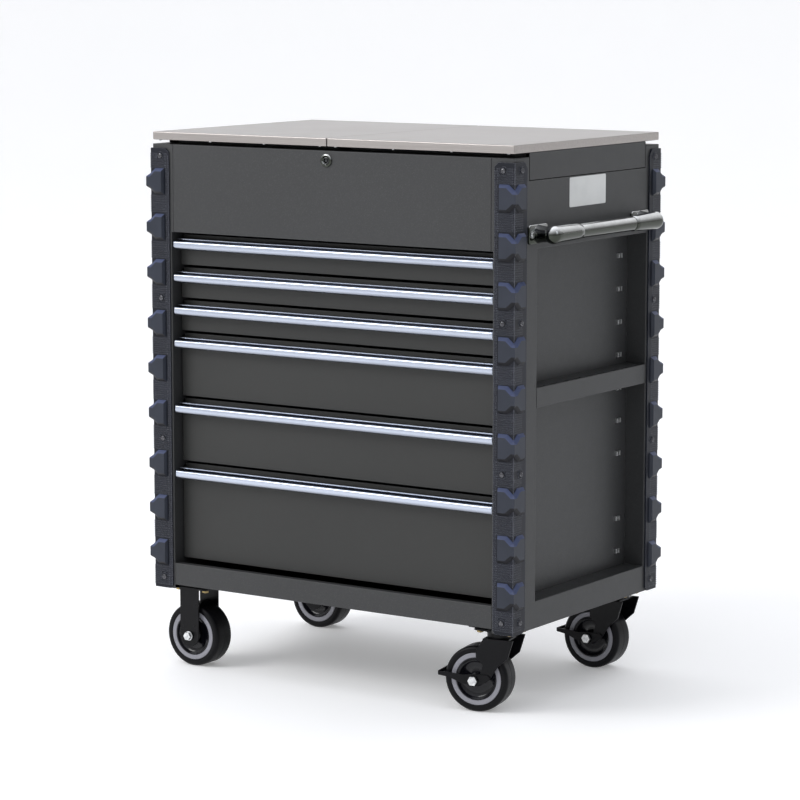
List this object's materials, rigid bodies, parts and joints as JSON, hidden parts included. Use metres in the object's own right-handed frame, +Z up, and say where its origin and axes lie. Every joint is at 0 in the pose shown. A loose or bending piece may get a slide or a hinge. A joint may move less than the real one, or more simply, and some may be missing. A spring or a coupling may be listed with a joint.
{
  "type": "rolling tool chest",
  "caption": "Rolling tool chest with stacked drawers under a two-part sliding stainless top, corner guards, a side push handle, and rigid and swivel casters.",
  "frame": {"origin": "middle of the whole object's box, on the floor", "axes": "+Z up, the drawers open towards -Y, the push handle is on the +X side"},
  "size_m": [0.9014, 0.56, 1.075],
  "materials": {
    "body_paint": "satin charcoal powder coat",
    "drawer_paint": "satin warm charcoal powder coat",
    "guard": "ribbed dark navy moulding",
    "stainless": "brushed along its length",
    "pull_aluminium": "satin anodised",
    "chrome": "polished chrome plate",
    "zinc": "bright zinc plate",
    "fork_black": "semi-gloss black",
    "lock_black": "dark key barrel",
    "wheel": "smooth black tread and hub with a pale ring"
  },
  "bodies": {
    "cabinet": {"base_pan": "body_paint", "side_frame_left": "body_paint", "side_frame_right": "body_paint", "inner_walls": "body_paint", "side_crossbars": "body_paint", "back_panel": "body_paint", "front_panel": "body_paint", "compartment_floor": "body_paint", "corner_guard_front_left": "guard", "corner_guard_front_right": "guard", "corner_guard_rear_left": "guard", "corner_guard_rear_right": "guard", "guard_screws": "fork_black", "slide_channels_left": "zinc", "slide_channels_right": "zinc", "top_slide_channels": "zinc", "push_handle": "chrome", "handle_brackets": "chrome", "handle_bolts": "zinc", "lock_housing": "chrome", "caster_rails": "fork_black", "rigid_forks": "fork_black", "rigid_axles": "zinc", "swivel_plates": "fork_black", "caster_bolts": "zinc"},
    "drawer_1": {"drawer_box_1": "drawer_paint", "drawer_pull_1": "pull_aluminium"},
    "runners_1": {"drawer_runners_1": "zinc"},
    "drawer_2": {"drawer_box_2": "drawer_paint", "drawer_pull_2": "pull_aluminium"},
    "runners_2": {"drawer_runners_2": "zinc"},
    "drawer_3": {"drawer_box_3": "drawer_paint", "drawer_pull_3": "pull_aluminium"},
    "runners_3": {"drawer_runners_3": "zinc"},
    "drawer_4": {"drawer_box_4": "drawer_paint", "drawer_pull_4": "pull_aluminium"},
    "runners_4": {"drawer_runners_4": "zinc"},
    "drawer_5": {"drawer_box_5": "drawer_paint", "drawer_pull_5": "pull_aluminium"},
    "runners_5": {"drawer_runners_5": "zinc"},
    "drawer_6": {"drawer_box_6": "drawer_paint", "drawer_pull_6": "pull_aluminium"},
    "runners_6": {"drawer_runners_6": "zinc"},
    "top_left": {"top_skin_left": "stainless", "top_frame_left": "body_paint", "top_runners_left": "zinc"},
    "top_right": {"top_skin_right": "stainless", "top_frame_right": "body_paint", "top_runners_right": "zinc"},
    "lock_barrel": {"lock_barrel": "lock_black"},
    "swivel_front": {"swivel_fork_front": "fork_black", "swivel_axle_front": "zinc"},
    "brake_pedal_front": {"brake_pedal_front": "fork_black"},
    "wheel_front_right": {"wheel_front_right": "wheel"},
    "wheel_front_left": {"wheel_front_left": "wheel"},
    "swivel_rear": {"swivel_fork_rear": "fork_black", "swivel_axle_rear": "zinc"},
    "brake_pedal_rear": {"brake_pedal_rear": "fork_black"},
    "wheel_rear_right": {"wheel_rear_right": "wheel"},
    "wheel_rear_left": {"wheel_rear_left": "wheel"}
  },
  "joints": [
    {"name": "drawer_1_slide", "type": "slide", "parent": "cabinet", "child": "drawer_1", "axis": [0, -1, 0], "range_m": [0, 0.44]},
    {"name": "runners_1_slide", "type": "slide", "parent": "cabinet", "child": "runners_1", "axis": [0, -1, 0], "range_m": [0, 0.22]},
    {"name": "drawer_2_slide", "type": "slide", "parent": "cabinet", "child": "drawer_2", "axis": [0, -1, 0], "range_m": [0, 0.44]},
    {"name": "runners_2_slide", "type": "slide", "parent": "cabinet", "child": "runners_2", "axis": [0, -1, 0], "range_m": [0, 0.22]},
    {"name": "drawer_3_slide", "type": "slide", "parent": "cabinet", "child": "drawer_3", "axis": [0, -1, 0], "range_m": [0, 0.44]},
    {"name": "runners_3_slide", "type": "slide", "parent": "cabinet", "child": "runners_3", "axis": [0, -1, 0], "range_m": [0, 0.22]},
    {"name": "drawer_4_slide", "type": "slide", "parent": "cabinet", "child": "drawer_4", "axis": [0, -1, 0], "range_m": [0, 0.44]},
    {"name": "runners_4_slide", "type": "slide", "parent": "cabinet", "child": "runners_4", "axis": [0, -1, 0], "range_m": [0, 0.22]},
    {"name": "drawer_5_slide", "type": "slide", "parent": "cabinet", "child": "drawer_5", "axis": [0, -1, 0], "range_m": [0, 0.44]},
    {"name": "runners_5_slide", "type": "slide", "parent": "cabinet", "child": "runners_5", "axis": [0, -1, 0], "range_m": [0, 0.22]},
    {"name": "drawer_6_slide", "type": "slide", "parent": "cabinet", "child": "drawer_6", "axis": [0, -1, 0], "range_m": [0, 0.44]},
    {"name": "runners_6_slide", "type": "slide", "parent": "cabinet", "child": "runners_6", "axis": [0, -1, 0], "range_m": [0, 0.22]},
    {"name": "top_left_slide", "type": "slide", "parent": "cabinet", "child": "top_left", "axis": [-1, 0, 0], "range_m": [0, 0.2]},
    {"name": "top_right_slide", "type": "slide", "parent": "cabinet", "child": "top_right", "axis": [1, 0, 0], "range_m": [0, 0.2]},
    {"name": "lock_turn", "type": "hinge", "parent": "cabinet", "child": "lock_barrel", "pos_m": [-0.02175, -0.27, 1.0325], "axis": [0, -1, 0], "range_deg": [0, 90]},
    {"name": "swivel_front_turn", "type": "hinge", "parent": "cabinet", "child": "swivel_front", "pos_m": [0.34025, -0.215, 0.15], "axis": [0, 0, 1], "continuous": true},
    {"name": "brake_pedal_front_press", "type": "hinge", "parent": "swivel_front", "child": "brake_pedal_front", "pos_m": [0.29902, -0.22301, 0.0635], "axis": [0.1908, -0.9816, 0], "range_deg": [0, 14]},
    {"name": "wheel_front_right_roll", "type": "hinge", "parent": "swivel_front", "child": "wheel_front_right", "pos_m": [0.29902, -0.22301, 0.0635], "axis": [0.1908, -0.9816, 0], "continuous": true},
    {"name": "wheel_front_left_roll", "type": "hinge", "parent": "cabinet", "child": "wheel_front_left", "pos_m": [-0.37775, -0.215, 0.0635], "axis": [0, -1, 0], "continuous": true},
    {"name": "swivel_rear_turn", "type": "hinge", "parent": "cabinet", "child": "swivel_rear", "pos_m": [0.34025, 0.215, 0.15], "axis": [0, 0, 1], "continuous": true},
    {"name": "brake_pedal_rear_press", "type": "hinge", "parent": "swivel_rear", "child": "brake_pedal_rear", "pos_m": [0.29825, 0.215, 0.0635], "axis": [0, -1, 0], "range_deg": [0, 14]},
    {"name": "wheel_rear_right_roll", "type": "hinge", "parent": "swivel_rear", "child": "wheel_rear_right", "pos_m": [0.29825, 0.215, 0.0635], "axis": [0, -1, 0], "continuous": true},
    {"name": "wheel_rear_left_roll", "type": "hinge", "parent": "cabinet", "child": "wheel_rear_left", "pos_m": [-0.37775, 0.215, 0.0635], "axis": [0, -1, 0], "continuous": true}
  ],
  "couplings": [
    {"joint": "runners_1_slide", "follows": "drawer_1_slide", "ratio": 0.5},
    {"joint": "runners_2_slide", "follows": "drawer_2_slide", "ratio": 0.5},
    {"joint": "runners_3_slide", "follows": "drawer_3_slide", "ratio": 0.5},
    {"joint": "runners_4_slide", "follows": "drawer_4_slide", "ratio": 0.5},
    {"joint": "runners_5_slide", "follows": "drawer_5_slide", "ratio": 0.5},
    {"joint": "runners_6_slide", "follows": "drawer_6_slide", "ratio": 0.5}
  ]
}
